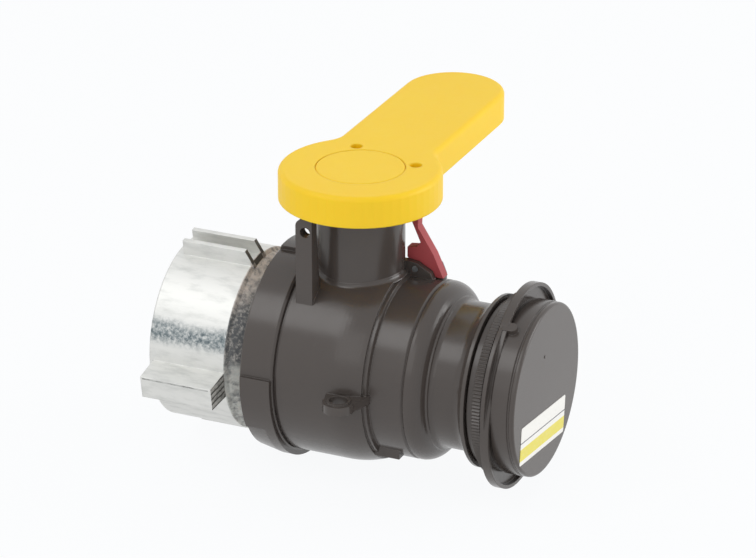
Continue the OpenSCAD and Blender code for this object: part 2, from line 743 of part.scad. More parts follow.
// Middle line of the spring: a leg up the latch, turns about the pin and a leg along the body
spring_r = latch_pin_r + spring_wire / 2 + 0.3;
spring_turns = 2.5;
spring_steps = 14;
spring_y = latch_y + latch_w / 2 + spring_wire / 2 + 0.3;
spring_pitch = (spring_gap - spring_wire - 0.6) / spring_turns;
function spring_point(a) = [pivot_x + spring_r * cos(a), spring_y + spring_pitch * a / 360,
    latch_pivot_z + spring_r * sin(a)];
spring_path = concat(
    [[pivot_x + spring_r, spring_y, latch_pivot_z + 7]],
    [for (i = [0:spring_turns * spring_steps]) spring_point(i * 360 / spring_steps)],
    [[pivot_x - spring_r, spring_point(spring_turns * 360)[1], latch_pivot_z - 3]]);

// A wire of a few sides along points that never run along Y
function unit(v) = v / norm(v);
function wire_ring(path, i, r, sides) = let (
        t = unit(path[min(i + 1, len(path) - 1)] - path[max(i - 1, 0)]),
        n = unit(cross(t, [0, 1, 0])),
        b = cross(t, n))
    [for (k = [0:sides - 1]) path[i] + r * (n * cos(360 * k / sides) + b * sin(360 * k / sides))];

module latch_spring() color(steel) at_stem()
    skin([for (i = [0:len(spring_path) - 1]) wire_ring(spring_path, i, spring_wire / 2, 6)]);

// Outlet: tamper ring, dust cap and gasket

tooth_r = cap_r + 0.8;

// Outline of the toothed band: a point at each crest and root
tooth_points = [for (i = [0:2 * band_teeth - 1])
    let (a = 180 * i / band_teeth, r = tooth_r + tooth_h * (i % 2)) [r * cos(a), r * sin(a)]];

module tamper_ring() color(black_plastic) at_stem() difference() {
    union() {
        rod_x(smooth_r, ring_x, ring_end_x);
        translate([ring_end_x - band_w, 0, 0]) rotate([0, 90, 0])
            linear_extrude(band_w) polygon(tooth_points);
    }
    rod_x(band_in_r, ring_x - 1, ring_x + lip_from);
    rod_x(spigot_r - snap_lip + fit_gap, ring_x, ring_end_x);
    rod_x(band_in_r, ring_x + lip_to, ring_end_x + 1);
}

ear_hole_r = 0.8;
ear_hole_at = cap_r + ear_hole_r + 0.8;
ear_hole_angle = 95.6;
nub_angle = 62;
nub_w = 4;
nub_len = 6;
nub_h = 2.2;

// Groove beside the skirt and groove beside the cap's end
neck_w = 1.4;
neck_d = 0.8;
end_groove_d = 0.5;
end_round = 1;

// Start of a turn about the pipe: 0 points to -Y and 90 points up
module about_pipe(angle) rotate([-angle, 0, 0]) children();

// Circle that bounds one ear, seen along the pipe with -Y to the left
module ear_lobe(r) translate([ear_reach - ear_lobe_r, 0]) circle(r = r);

// Profile of the skirt and its two ears
module skirt_shape() union() {
    circle(r = skirt_r);
    for (side = [0, 180]) rotate(side) ear_lobe(ear_lobe_r);
}

// Profile of the raised rims round the ears
module ear_rims() difference() {
    for (side = [0, 180]) rotate(side) difference() {
        ear_lobe(ear_lobe_r);
        ear_lobe(ear_lobe_r - ear_rim);
    }
    circle(r = cap_r - 1);
}

cap_profile = concat([[skirt_x + 1, 0], [skirt_x + 1, cap_r - neck_d],
    [skirt_x + skirt_t + neck_w, cap_r - neck_d], [skirt_x + skirt_t + neck_w + 0.5, cap_r],
    [cap_face_x - 3, cap_r], [cap_face_x - 2.7, cap_r - end_groove_d],
    [cap_face_x - 2.1, cap_r - end_groove_d], [cap_face_x - 1.8, cap_r - 0.1]],
    arc(cap_face_x - end_round, cap_r - 0.1 - end_round, end_round, 90, 0, 4), [[cap_face_x, 0]]);

// A round-ended nub on the cap's wall
module cap_nub() about_pipe(nub_angle) translate([skirt_x + 1, nub_w / 2 - cap_r, 0]) rotate([90, 0, 0])
    linear_extrude(nub_w / 2 + nub_h) union() {
        translate([0, -nub_w / 2]) square([nub_len - nub_w / 2, nub_w]);
        translate([nub_len - nub_w / 2, 0]) circle(r = nub_w / 2);
    }

module dust_cap() color(black_plastic) at_stem() difference() {
    union() {
        turned(cap_profile);
        about_pipe(ear_angle) translate([skirt_x, 0, 0]) rotate([90, 0, 90]) rotate([0, 0, 180]) {
            linear_extrude(skirt_t) skirt_shape();
            linear_extrude(ear_depth) ear_rims();
        }
        cap_nub();
    }
    rod_x(cap_in_r, skirt_x - 1, cap_face_x - cap_end);
    about_pipe(ear_hole_angle) translate([skirt_x - 1, -ear_hole_at, 0]) rotate([0, 90, 0])
        cylinder(r = ear_hole_r, h = skirt_t + 2);
}

module cap_gasket() color(rubber) at_stem()
    flat_ring(cap_in_r - slack, bore_r + 1, outlet_x + slack / 2, outlet_x + slack / 2 + cap_gasket_t);

valve_body();
inlet_collar();
collar_o_ring();
union_nut();
nut_retaining_ring();
inlet_gasket();
ball();
inlet_seat();
outlet_seat();
inlet_seat_ring();
outlet_seat_ring();
stem();
stem_o_rings();
thrust_washer();
stem_bush();
handle();
handle_washer();
handle_screw();
hub_cover();
lock_latch();
latch_pin();
latch_spring();
tamper_ring();
dust_cap();
cap_gasket();
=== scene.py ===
"""Studio scene of a moulded ball valve for the outlet of a bulk liquid tank.

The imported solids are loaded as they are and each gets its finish. The scene adds what the solids
leave plain: the coarse threads, the rounded foot of the stem tower, the label and gate mark on the
dust cap, and the flash lines and low fin webs that casting leaves on the union nut.
"""

from __future__ import annotations

import logging
import math
from collections.abc import Mapping, Sequence
from dataclasses import dataclass, replace
from enum import Enum
from typing import Any

import bmesh
import bpy
from mathutils import Matrix, Vector

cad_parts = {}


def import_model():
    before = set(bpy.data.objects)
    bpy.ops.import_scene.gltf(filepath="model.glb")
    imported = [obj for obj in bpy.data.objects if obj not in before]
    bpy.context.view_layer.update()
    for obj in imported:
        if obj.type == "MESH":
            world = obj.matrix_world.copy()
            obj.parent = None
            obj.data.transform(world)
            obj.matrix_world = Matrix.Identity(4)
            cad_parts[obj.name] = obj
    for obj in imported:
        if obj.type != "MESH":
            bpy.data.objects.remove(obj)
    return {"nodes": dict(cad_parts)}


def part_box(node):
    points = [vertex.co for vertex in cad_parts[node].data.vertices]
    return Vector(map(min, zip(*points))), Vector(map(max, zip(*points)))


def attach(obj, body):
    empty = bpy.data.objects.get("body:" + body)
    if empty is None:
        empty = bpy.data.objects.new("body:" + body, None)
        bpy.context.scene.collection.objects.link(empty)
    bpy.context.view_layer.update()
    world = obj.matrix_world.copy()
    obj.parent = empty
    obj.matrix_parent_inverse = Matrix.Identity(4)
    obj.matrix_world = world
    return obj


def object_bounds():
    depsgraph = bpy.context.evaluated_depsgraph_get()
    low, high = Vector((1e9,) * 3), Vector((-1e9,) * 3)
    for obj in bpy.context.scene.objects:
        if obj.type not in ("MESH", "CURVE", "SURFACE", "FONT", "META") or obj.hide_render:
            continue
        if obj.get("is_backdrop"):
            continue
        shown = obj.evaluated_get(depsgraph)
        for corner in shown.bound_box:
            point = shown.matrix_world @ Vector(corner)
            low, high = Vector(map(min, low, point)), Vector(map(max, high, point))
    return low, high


LOG = logging.getLogger("tank_valve")

MM = 0.001

# Place of the stem axis along the pipe, from the open face of the union nut
STEM_X_MM = 75.8
# Turn of the nut's lugs about the pipe, from level
LUG_TURN_DEG = 9.0
# Drop of the floor below the lowest point of the valve
FLOOR_GAP_MM = 0.5
# Vertices of a piece that lie closer than this are one
MERGE_MM = 0.0001

Colour = tuple[float, float, float, float]
Socket = bpy.types.NodeSocket
Settings = Mapping[str | int, Any]


class Body(Enum):
    """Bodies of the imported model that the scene's own pieces ride on."""

    VALVE = "valve"
    NUT = "nut"
    CAP = "cap"


class Slot(Enum):
    """Material slots of the record."""

    BODY = "body_black"
    NUT = "nut_metal"
    HANDLE = "handle_yellow"
    LATCH = "latch_red"
    RUBBER = "rubber"
    SEAT = "seat_white"
    STEM = "stem_grey"
    STEEL = "steel"


class Side(Enum):
    """The two sides of the nut that carry the same casting, by their turn about the pipe in degrees."""

    SEEN = 0.0
    OPPOSITE = 180.0


def linear(code: str) -> Colour:
    """Turns an sRGB hex code into a linear colour.

    Args:
        code: Six hex digits with a leading hash sign.

    Returns:
        Red, green, blue and an alpha of one.
    """
    shares = [int(code[i : i + 2], 16) / 255 for i in (1, 3, 5)]
    red, green, blue = (
        s / 12.92 if s <= 0.04045 else ((s + 0.055) / 1.055) ** 2.4 for s in shares
    )
    return red, green, blue, 1.0


def per_metre(size_mm: float) -> float:
    """Gives the texture scale that draws a pattern of the given size in millimetres."""
    return 1 / (size_mm * MM)


def add_node(tree: bpy.types.NodeTree, kind: str, settings: Settings) -> bpy.types.Node:
    """Adds one shader node with its settings and its incoming links.

    Args:
        tree: Node tree that gets the node.
        kind: Node type without its ShaderNode prefix.
        settings: Values by property name, or by the name or number of an input. A socket is linked.

    Returns:
        The new node.
    """
    node = tree.nodes.new("ShaderNode" + kind)
    for key, value in settings.items():
        if isinstance(value, Socket):
            tree.links.new(value, node.inputs[key])
        elif isinstance(key, str) and hasattr(node, key):
            setattr(node, key, value)
        else:
            node.inputs[key].default_value = value
    return node


# Numbers of the Mix node's colour sockets, and the setting that turns it to colours
MIX_A, MIX_B, MIX_OUT = 6, 7, 2
COLOURS = {"data_type": "RGBA"}
# Setting of a Map Range node that eases in and out
SMOOTH = {"interpolation_type": "SMOOTHSTEP"}
# Rays that softened edges are averaged from
EDGE_SAMPLES = 6
# Waves that a wave texture of scale one draws in a length of one
WAVES_PER_UNIT = 20 / math.tau


@dataclass(frozen=True)
class Finish:
    """A surface finish with a name, a base colour and a roughness."""

    name: str
    colour: str
    roughness: float

    def build(self) -> bpy.types.Material:
        """Makes the material from the values and sockets that the finish gives its shader.

        Returns:
            The material.
        """
        material = bpy.data.materials.new(self.name)
        material.use_nodes = True
        tree = material.node_tree
        tree.nodes.clear()
        shader = add_node(tree, "BsdfPrincipled", {"Roughness": self.roughness, **self.surface(tree)})
        add_node(tree, "OutputMaterial", {"Surface": shader.outputs["BSDF"]})
        return material

    def surface(self, tree: bpy.types.NodeTree) -> Settings:
        """Gives the shader's settings, after adding the nodes that feed it to the tree."""
        raise NotImplementedError


@dataclass(frozen=True)
class MouldedPlastic(Finish):
    """Injection-moulded plastic: a fine spark-eroded grain, slow cloudy flow marks and pale scuffs."""

    second: str = "#000000"
    scuff: str = "#ffffff"
    scuff_share: float = 0.1
    ior: float = 1.49
    flow_mm: float = 32.0
    rub_mm: float = 3.6
    # Spark-eroded grain is finer than a pixel, so it is drawn as coarse as it needs to show
    grain_mm: float = 1.1
    grain_depth_mm: float = 0.012
    grain_share: float = 0.08
    sheen_drop: float = 0.02
    sheen_rise: float = 0.03
    edge_mm: float = 0.45
    subsurface: float = 0.0
    depth_mm: float = 1.0

    def surface(self, tree: bpy.types.NodeTree) -> Settings:
        """Draws the flow marks, scuffs, grain and soft edges.

        Args:
            tree: Node tree that gets the nodes.

        Returns:
            The shader's settings.
        """
        place = add_node(tree, "TexCoord", {}).outputs["Object"]
        flow = add_node(tree, "TexNoise", {
            "Vector": place, "Scale": per_metre(self.flow_mm), "Detail": 3.0,
        })
        rub = add_node(tree, "TexNoise", {
            "Vector": place, "Scale": per_metre(self.rub_mm), "Detail": 6.0, "Roughness": 0.75,
        })
        grain = add_node(tree, "TexNoise", {
            "Vector": place, "Scale": per_metre(self.grain_mm), "Detail": 2.0,
        })
        cloud = add_node(tree, "Mix", {
            **COLOURS, 0: flow.outputs["Fac"], MIX_A: linear(self.colour), MIX_B: linear(self.second),
        })
        rubbed = add_node(tree, "MapRange", {
            **SMOOTH, "Value": rub.outputs["Fac"], "From Min": 0.6, "From Max": 0.78,
            "To Max": self.scuff_share,
        })
        skin = add_node(tree, "Mix", {
            **COLOURS, 0: rubbed.outputs["Result"], MIX_A: cloud.outputs[MIX_OUT], MIX_B: linear(self.scuff),
        })
        sheen = add_node(tree, "MapRange", {
            **SMOOTH, "Value": rub.outputs["Fac"], "From Min": 0.3, "From Max": 0.7,
            "To Min": self.roughness - self.sheen_drop, "To Max": self.roughness + self.sheen_rise,
        })
        edge = add_node(tree, "Bevel", {"samples": EDGE_SAMPLES, "Radius": self.edge_mm * MM})
        relief = add_node(tree, "Bump", {
            "Strength": self.grain_share, "Distance": self.grain_depth_mm * MM,
            "Height": grain.outputs["Fac"], "Normal": edge.outputs["Normal"],
        })
        return {
            "Base Color": skin.outputs[MIX_OUT], "Roughness": sheen.outputs["Result"],
            "Normal": relief.outputs["Normal"], "IOR": self.ior,
            "Subsurface Weight": self.subsurface, "Subsurface Scale": self.depth_mm * MM,
        }


@dataclass(frozen=True)
class TurnedRing(Finish):
    """A turned ring of sealing plastic or rubber: fine tool rings round the pipe under a soft sheen."""

    second: str = "#000000"
    ior: float = 1.38
    cloud_mm: float = 9.0
    # Tool rings are finer than a pixel, so they are drawn as coarse as they need to show
    ring_mm: float = 0.7
    ring_depth_mm: float = 0.02
    ring_share: float = 0.3

    def surface(self, tree: bpy.types.NodeTree) -> Settings:
        """Draws the tool rings and the cloudy colour.

        Args:
            tree: Node tree that gets the nodes.

        Returns:
            The shader's settings.
        """
        place = add_node(tree, "TexCoord", {}).outputs["Object"]
        cloud = add_node(tree, "TexNoise", {
            "Vector": place, "Scale": per_metre(self.cloud_mm), "Detail": 4.0,
        })
        skin = add_node(tree, "Mix", {
            **COLOURS, 0: cloud.outputs["Fac"], MIX_A: linear(self.colour), MIX_B: linear(self.second),
        })
        tool = add_node(tree, "TexWave", {
            "wave_type": "RINGS", "rings_direction": "X", "Vector": place,
            "Scale": per_metre(self.ring_mm) / WAVES_PER_UNIT, "Distortion": 0.4,
        })
        relief = add_node(tree, "Bump", {
            "Strength": self.ring_share, "Distance": self.ring_depth_mm * MM, "Height": tool.outputs["Fac"],
        })
        return {
            "Base Color": skin.outputs[MIX_OUT], "Normal": relief.outputs["Normal"], "IOR": self.ior,
        }


@dataclass(frozen=True)
class PlatedSteel(Finish):
    """Zinc-plated steel: a cool bright metal with a faint crystalline bloom."""

    second: str = "#8d9296"
    bloom_mm: float = 1.6

    def surface(self, tree: bpy.types.NodeTree) -> Settings:
        """Draws the bloom of the plating.

        Args:
            tree: Node tree that gets the nodes.

        Returns:
            The shader's settings.
        """
        place = add_node(tree, "TexCoord", {}).outputs["Object"]
        bloom = add_node(tree, "TexNoise", {
            "Vector": place, "Scale": per_metre(self.bloom_mm), "Detail": 5.0,
        })
        skin = add_node(tree, "Mix", {
            **COLOURS, 0: bloom.outputs["Fac"], MIX_A: linear(self.colour), MIX_B: linear(self.second),
        })
        return {"Base Color": skin.outputs[MIX_OUT], "Metallic": 1.0}


@dataclass(frozen=True)
class CastingSockets:
    """Sockets that all patterns of a casting read."""

    place: Socket
    x: Socket
    y: Socket
    z: Socket
    facing: Socket
    fine: Socket


@dataclass(frozen=True)
class DieCastMetal(Finish):
    """Die-cast aluminium: bright skin with a mottled band of painted reflection on its near side, a crusted
    shoulder with a band of painted shade, and sawn ends.
    """

    cloud: str = "#cccdca"
    # Blue-grey specks and their dark cores: a painted reflection of dark surroundings on the near side of the
    # wall
    reflection_speck: str = "#7b868a"
    reflection_core: str = "#414b50"
    crust_high: str = "#cfc5bd"
    # Dark grey of the shoulder's stains, also painted as a band of shade at half height
    crust_stain_and_shade: str = "#5f6163"
    crust_low: str = "#cfd1cc"
    crust_fleck: str = "#d2cdc6"
    sawn_dark: str = "#5c5a56"
    sawn_light: str = "#d8d6d1"
    rib_end: str = "#6a6762"
    dull_roughness: float = 0.6
    skin_metal: float = 0.92
    dull_metal: float = 0.4
    # Size and depth of the pits and specks that the die leaves
    fine_mm: float = 1.7
    pit_depth_mm: float = 0.12
    pit_share: float = 0.3
    edge_mm: float = 0.5
    # The skin's streaks are drawn out along the pipe
    streak_mm: float = 3.4
    streak_draw: float = 0.3
    # Middle and half height of the mottled band of painted reflection, the size of its patches, and where the
    # near side begins
    band_mm: tuple[float, float] = (12.0, 6.5)
    band_core_share: float = 0.2
    patch_mm: float = 6.0
    near_y_mm: tuple[float, float] = (-28.0, -33.0)
    # Levels of the fine noise between which the painted reflection's specks and their dark cores come up
    reflection_speck_levels: tuple[float, float] = (0.21, 0.63)
    reflection_core_levels: tuple[float, float] = (0.46, 0.86)
    # Start of the crusted shoulder along the pipe, the heights where its colours change (into a band of
    # painted shade at half height, then the brownish top), and the size and height of the waver in them
    shoulder_mm: float = 33.0
    shoulder_blur_mm: float = 0.2
    crust_low_z_mm: tuple[float, float] = (10.0, 18.0)
    crust_high_z_mm: tuple[float, float] = (34.0, 44.0)
    waver_mm: float = 9.0
    waver_height_mm: float = 24.0
    # Size of the shoulder's stains, and the noise levels between which stains and flecks come up,
    # with the most that they cover
    stain_mm: float = 3.2
    stain_levels: tuple[float, float] = (0.4, 0.66)
    stain_most: float = 0.75
    fleck_levels: tuple[float, float] = (0.44, 0.7)
    fleck_most: float = 0.7
    # Reach of the wall that the sawn ends stand proud of, their saw lines, and where the fins begin
    wall_mm: float = 37.4
    wall_blur_mm: float = 0.4
    layer_mm: float = 2.4
    lug_turn_deg: float = LUG_TURN_DEG
    fin_z_mm: tuple[float, float] = (25.0, 27.0)

    def surface(self, tree: bpy.types.NodeTree) -> Settings:
        """Draws the casting from its skin, its shoulder and its sawn ends.

        Args:
            tree: Node tree that gets the nodes.

        Returns:
            The shader's settings.
        """
        sockets = self.sockets(tree)
        rear = add_node(tree, "MapRange", {
            **SMOOTH, "Value": sockets.x,
            "From Min": (self.shoulder_mm - self.shoulder_blur_mm) * MM,
            "From Max": (self.shoulder_mm + self.shoulder_blur_mm) * MM,
        }).outputs["Result"]
        sawn = self.sawn_share(tree, sockets)
        cast = add_node(tree, "Mix", {
            **COLOURS, 0: rear, MIX_A: self.skin(tree, sockets), MIX_B: self.shoulder_crust_and_shade(tree, sockets),
        })
        colour = add_node(tree, "Mix", {
            **COLOURS, 0: sawn, MIX_A: cast.outputs[MIX_OUT], MIX_B: self.saw_lines(tree, sockets),
        })
        dull = add_node(tree, "Math", {"operation": "MAXIMUM", 0: rear, 1: sawn}).outputs[0]
        rough = add_node(tree, "MapRange", {
            **SMOOTH, "Value": dull, "To Min": self.roughness, "To Max": self.dull_roughness,
        })
        metal = add_node(tree, "MapRange", {
            **SMOOTH, "Value": dull, "To Min": self.skin_metal, "To Max": self.dull_metal,
        })
        edge = add_node(tree, "Bevel", {"samples": EDGE_SAMPLES, "Radius": self.edge_mm * MM})
        relief = add_node(tree, "Bump", {
            "Strength": self.pit_share, "Distance": self.pit_depth_mm * MM,
            "Height": sockets.fine, "Normal": edge.outputs["Normal"],
        })
        return {
            "Base Color": colour.outputs[MIX_OUT], "Roughness": rough.outputs["Result"],
            "Metallic": metal.outputs["Result"], "Normal": relief.outputs["Normal"],
        }

    def sockets(self, tree: bpy.types.NodeTree) -> CastingSockets:
        """Adds the coordinates and the fine noise that the patterns share.

        Args:
            tree: Node tree that gets the nodes.

        Returns:
            Their sockets.
        """
        where = add_node(tree, "TexCoord", {})
        place = where.outputs["Object"]
        axes = add_node(tree, "SeparateXYZ", {"Vector": place}).outputs
        facing = add_node(tree, "SeparateXYZ", {"Vector": where.outputs["Normal"]})
        fine = add_node(tree, "TexNoise", {
            "Vector": place, "Scale": per_metre(self.fine_mm), "Detail": 5.0, "Roughness": 0.7,
        })
        return CastingSockets(
            place, axes["X"], axes["Y"], axes["Z"], facing.outputs["X"], fine.outputs["Fac"]
        )

    def skin(self, tree: bpy.types.NodeTree, sockets: CastingSockets) -> Socket:
        """Colours the smooth wall: streaks drawn along the pipe, and the mottled band of painted reflection
        on the near side.

        Args:
            tree: Node tree that gets the nodes.
            sockets: Sockets that the patterns share.

        Returns:
            The colour of the wall.
        """
        drawn = add_node(tree, "Mapping", {
            "Scale": (self.streak_draw, 1.0, 1.0), "Vector": sockets.place,
        }).outputs["Vector"]
        streak = add_node(tree, "TexNoise", {
            "Vector": drawn, "Scale": per_metre(self.streak_mm), "Detail": 5.0, "Roughness": 0.6,
        })
        streaked = add_node(tree, "MapRange", {
            **SMOOTH, "Value": streak.outputs["Fac"], "From Min": 0.42, "From Max": 0.8,
        })
        colour = add_node(tree, "Mix", {
            **COLOURS, 0: streaked.outputs["Result"], MIX_A: linear(self.colour), MIX_B: linear(self.cloud),
        }).outputs[MIX_OUT]
        # Painted reflection: specks and dark cores in a strip of the near side
        share = self.reflection_band_share(tree, sockets, drawn)
        for code, (low, high) in ((self.reflection_speck, self.reflection_speck_levels), (self.reflection_core, self.reflection_core_levels)):
            speck = add_node(tree, "MapRange", {
                **SMOOTH, "Value": sockets.fine, "From Min": low, "From Max": high,
            })
            shown = add_node(tree, "Math", {"operation": "MULTIPLY", 0: share, 1: speck.outputs["Result"]})
            colour = add_node(tree, "Mix", {
                **COLOURS, 0: shown.outputs[0], MIX_A: colour, MIX_B: linear(code),
            }).outputs[MIX_OUT]
        return colour

    def reflection_band_share(self, tree: bpy.types.NodeTree, sockets: CastingSockets, drawn: Socket) -> Socket:
        """Finds the mottled band of painted reflection: a strip of the near side, broken into patches.

        Args:
            tree: Node tree that gets the nodes.
            sockets: Sockets that the patterns share.
            drawn: Coordinates drawn out along the pipe.

        Returns:
            One where the band is full and zero elsewhere.
        """
        middle, half = self.band_mm
        offset = add_node(tree, "Math", {"operation": "SUBTRACT", 0: sockets.z, 1: middle * MM})
        height = add_node(tree, "Math", {"operation": "ABSOLUTE", 0: offset.outputs[0]})
        strip = add_node(tree, "MapRange", {
            **SMOOTH, "Value": height.outputs[0],
            "From Min": half * self.band_core_share * MM, "From Max": half * MM, "To Min": 1.0, "To Max": 0.0,
        })
        near = add_node(tree, "MapRange", {
            **SMOOTH, "Value": sockets.y,
            "From Min": self.near_y_mm[0] * MM, "From Max": self.near_y_mm[1] * MM,
        })
        clouds = add_node(tree, "TexNoise", {
            "Vector": drawn, "Scale": per_metre(self.patch_mm), "Detail": 3.0,
        })
        patch = add_node(tree, "MapRange", {
            **SMOOTH, "Value": clouds.outputs["Fac"], "From Min": 0.28, "From Max": 0.54,
        })
        seen = add_node(tree, "Math", {
            "operation": "MULTIPLY", 0: strip.outputs["Result"], 1: near.outputs["Result"],
        })
        return add_node(tree, "Math", {
            "operation": "MULTIPLY", 0: seen.outputs[0], 1: patch.outputs["Result"],
        }).outputs[0]

    def shoulder_crust_and_shade(self, tree: bpy.types.NodeTree, sockets: CastingSockets) -> Socket:
        """Colours the unmachined shoulder: brownish above, pale below and dark at half height, where the dark
        band is painted shade; stains and flecks lie over it.

        Args:
            tree: Node tree that gets the nodes.
            sockets: Sockets that the patterns share.

        Returns:
            The colour of the shoulder.
        """
        drift = add_node(tree, "TexNoise", {
            "Vector": sockets.place, "Scale": per_metre(self.waver_mm), "Detail": 3.0,
        })
        waver = add_node(tree, "Math", {
            "operation": "MULTIPLY", 0: drift.outputs["Fac"], 1: self.waver_height_mm * MM,
        })
        height = add_node(tree, "Math", {"operation": "ADD", 0: sockets.z, 1: waver.outputs[0]}).outputs[0]
        blotch = add_node(tree, "TexNoise", {
            "Vector": sockets.place, "Scale": per_metre(self.stain_mm), "Detail": 5.0, "Roughness": 0.7,
        }).outputs["Fac"]
        lower, upper = self.crust_low_z_mm, self.crust_high_z_mm
        colour_layers = (
            # The first layer is a painted band of shade at half height; then come the brownish top, the
            # stains and the flecks
            (self.crust_stain_and_shade, height, (lower[0] * MM, lower[1] * MM), 1.0),
            (self.crust_high, height, (upper[0] * MM, upper[1] * MM), 1.0),
            (self.crust_stain_and_shade, blotch, self.stain_levels, self.stain_most),
            (self.crust_fleck, sockets.fine, self.fleck_levels, self.fleck_most),
        )
        colour: Colour | Socket = linear(self.crust_low)
        for code, value, (low, high), most in colour_layers:
            share = add_node(tree, "MapRange", {
                **SMOOTH, "Value": value, "From Min": low, "From Max": high, "To Max": most,
            })
            colour = add_node(tree, "Mix", {
                **COLOURS, 0: share.outputs["Result"], MIX_A: colour, MIX_B: linear(code),
            }).outputs[MIX_OUT]
        return colour

    def sawn_share(self, tree: bpy.types.NodeTree, sockets: CastingSockets) -> Socket:
        """Finds the ends of the lugs and ribs, which face the collar and stand proud of the wall.

        Args:
            tree: Node tree that gets the nodes.
            sockets: Sockets that the patterns share.

        Returns:
            One on those ends and zero elsewhere.
        """
        flat = add_node(tree, "CombineXYZ", {"Y": sockets.y, "Z": sockets.z})
        reach = add_node(tree, "VectorMath", {"operation": "LENGTH", 0: flat.outputs[0]})
        proud = add_node(tree, "MapRange", {
            **SMOOTH, "Value": reach.outputs["Value"],
            "From Min": self.wall_mm * MM, "From Max": (self.wall_mm + self.wall_blur_mm) * MM,
        })
        faced = add_node(tree, "MapRange", {
            **SMOOTH, "Value": sockets.facing, "From Min": 0.55, "From Max": 0.65,
        })
        return add_node(tree, "Math", {
            "operation": "MULTIPLY", 0: proud.outputs["Result"], 1: faced.outputs["Result"],
        }).outputs[0]

    def saw_lines(self, tree: bpy.types.NodeTree, sockets: CastingSockets) -> Socket:
        """Colours the sawn ends: dark saw lines across the lugs, and plain dark ends on the fins.

        Args:
            tree: Node tree that gets the nodes.
            sockets: Sockets that the patterns share.

        Returns:
            The colour of the ends.
        """
        turned = add_node(tree, "Mapping", {
            "Rotation": (math.radians(-self.lug_turn_deg), 0, 0), "Vector": sockets.place,
        })
        lines = add_node(tree, "TexWave", {
            "bands_direction": "Z", "Vector": turned.outputs["Vector"],
            "Scale": per_metre(self.layer_mm) / WAVES_PER_UNIT, "Distortion": 2.2, "Detail": 4.0,
        })
        between = add_node(tree, "MapRange", {
            **SMOOTH, "Value": lines.outputs["Fac"], "From Min": 0.05, "From Max": 0.42,
        })
        unpitted = add_node(tree, "MapRange", {
            **SMOOTH, "Value": sockets.fine, "From Min": 0.26, "From Max": 0.56,
        })
        clean = add_node(tree, "Math", {
            "operation": "MULTIPLY", 0: between.outputs["Result"], 1: unpitted.outputs["Result"],
        })
        lugs = add_node(tree, "Mix", {
            **COLOURS, 0: clean.outputs[0], MIX_A: linear(self.sawn_dark), MIX_B: linear(self.sawn_light),
        })
        height = add_node(tree, "Math", {"operation": "ABSOLUTE", 0: sockets.z})
        fins = add_node(tree, "MapRange", {
            **SMOOTH, "Value": height.outputs[0],
            "From Min": self.fin_z_mm[0] * MM, "From Max": self.fin_z_mm[1] * MM,
        })
        return add_node(tree, "Mix", {
            **COLOURS, 0: fins.outputs["Result"], MIX_A: lugs.outputs[MIX_OUT], MIX_B: linear(self.rib_end),
        }).outputs[MIX_OUT]


@dataclass(frozen=True)
class LabelFilm(Finish):
    """Printed vinyl film: white, with a plain yellow band and a thin dark rule."""

    band: str = "#e9dc4a"
    rule: str = "#55565a"
    middle_mm: tuple[float, float] = (0.0, 0.0)
    turn_deg: float = 0.0
    # Heights of the band and the rule above the film's middle
    band_mm: tuple[float, float] = (-6.0, -1.0)
    rule_mm: tuple[float, float] = (1.2, 1.7)
    wear_mm: float = 1.5
    worn_share: float = 0.75

    def surface(self, tree: bpy.types.NodeTree) -> Settings:
        """Draws the band and rule across the film's height, with faint wear in the print.

        Args:
            tree: Node tree that gets the nodes.

        Returns:
            The shader's settings.
        """
        place = add_node(tree, "TexCoord", {}).outputs["Object"]
        turned = add_node(tree, "Mapping", {
            "vector_type": "TEXTURE", "Vector": place,
            "Location": (0, self.middle_mm[0] * MM, self.middle_mm[1] * MM),
            "Rotation": (math.radians(self.turn_deg), 0, 0),
        })
        height = add_node(tree, "SeparateXYZ", {"Vector": turned.outputs["Vector"]}).outputs["Z"]
        rub = add_node(tree, "TexNoise", {
            "Vector": place, "Scale": per_metre(self.wear_mm), "Detail": 5.0, "Roughness": 0.7,
        })
        print_left = add_node(tree, "MapRange", {
            **SMOOTH, "Value": rub.outputs["Fac"], "From Min": 0.45, "From Max": 0.8,
            "To Min": 1.0, "To Max": self.worn_share,
        })
        colour: Colour | Socket = linear(self.colour)
        for code, (low, high) in ((self.band, self.band_mm), (self.rule, self.rule_mm)):
            inside = add_node(tree, "Math", {
                "operation": "COMPARE", 0: height, 1: (low + high) / 2 * MM, 2: (high - low) / 2 * MM,
            })
            shown = add_node(tree, "Math", {
                "operation": "MULTIPLY", 0: inside.outputs[0], 1: print_left.outputs["Result"],
            })
            colour = add_node(tree, "Mix", {
                **COLOURS, 0: shown.outputs[0], MIX_A: colour, MIX_B: linear(code),
            }).outputs[MIX_OUT]
        return {"Base Color": colour}


# Glass-filled polypropylene from a spark-eroded mould: nearly black, warm, with a soft satin sheen
BODY_PLASTIC = MouldedPlastic(
    "Satin black polypropylene", "#463f3c", 0.22, second="#4d4743", scuff="#6e6863", scuff_share=0.08
)
# Polyethylene handle: strong yellow that lets a little light in, with a smooth low gloss
HANDLE_PLASTIC = MouldedPlastic(
    "Yellow polyethylene", "#fbcd00", 0.46, second="#fcd30c", scuff="#fad95e", scuff_share=0.12,
    ior=1.51, grain_depth_mm=0.008, edge_mm=1.0, subsurface=0.08, depth_mm=1.5,
)
# Nylon latch: deep red, slightly waxy, so its thin edges look brighter
LATCH_PLASTIC = MouldedPlastic(
    "Red nylon", "#b5494e", 0.58, second="#ad4449", scuff="#c9656a", scuff_share=0.15,
    ior=1.53, flow_mm=12.0, edge_mm=0.35, subsurface=0.12, depth_mm=1.2,
)
# Acetal stem and ball: mid grey, hard and smooth
STEM_PLASTIC = MouldedPlastic(
    "Grey acetal", "#6a6663", 0.3, second="#726e6a", scuff="#98938e", ior=1.48, grain_depth_mm=0.006
)
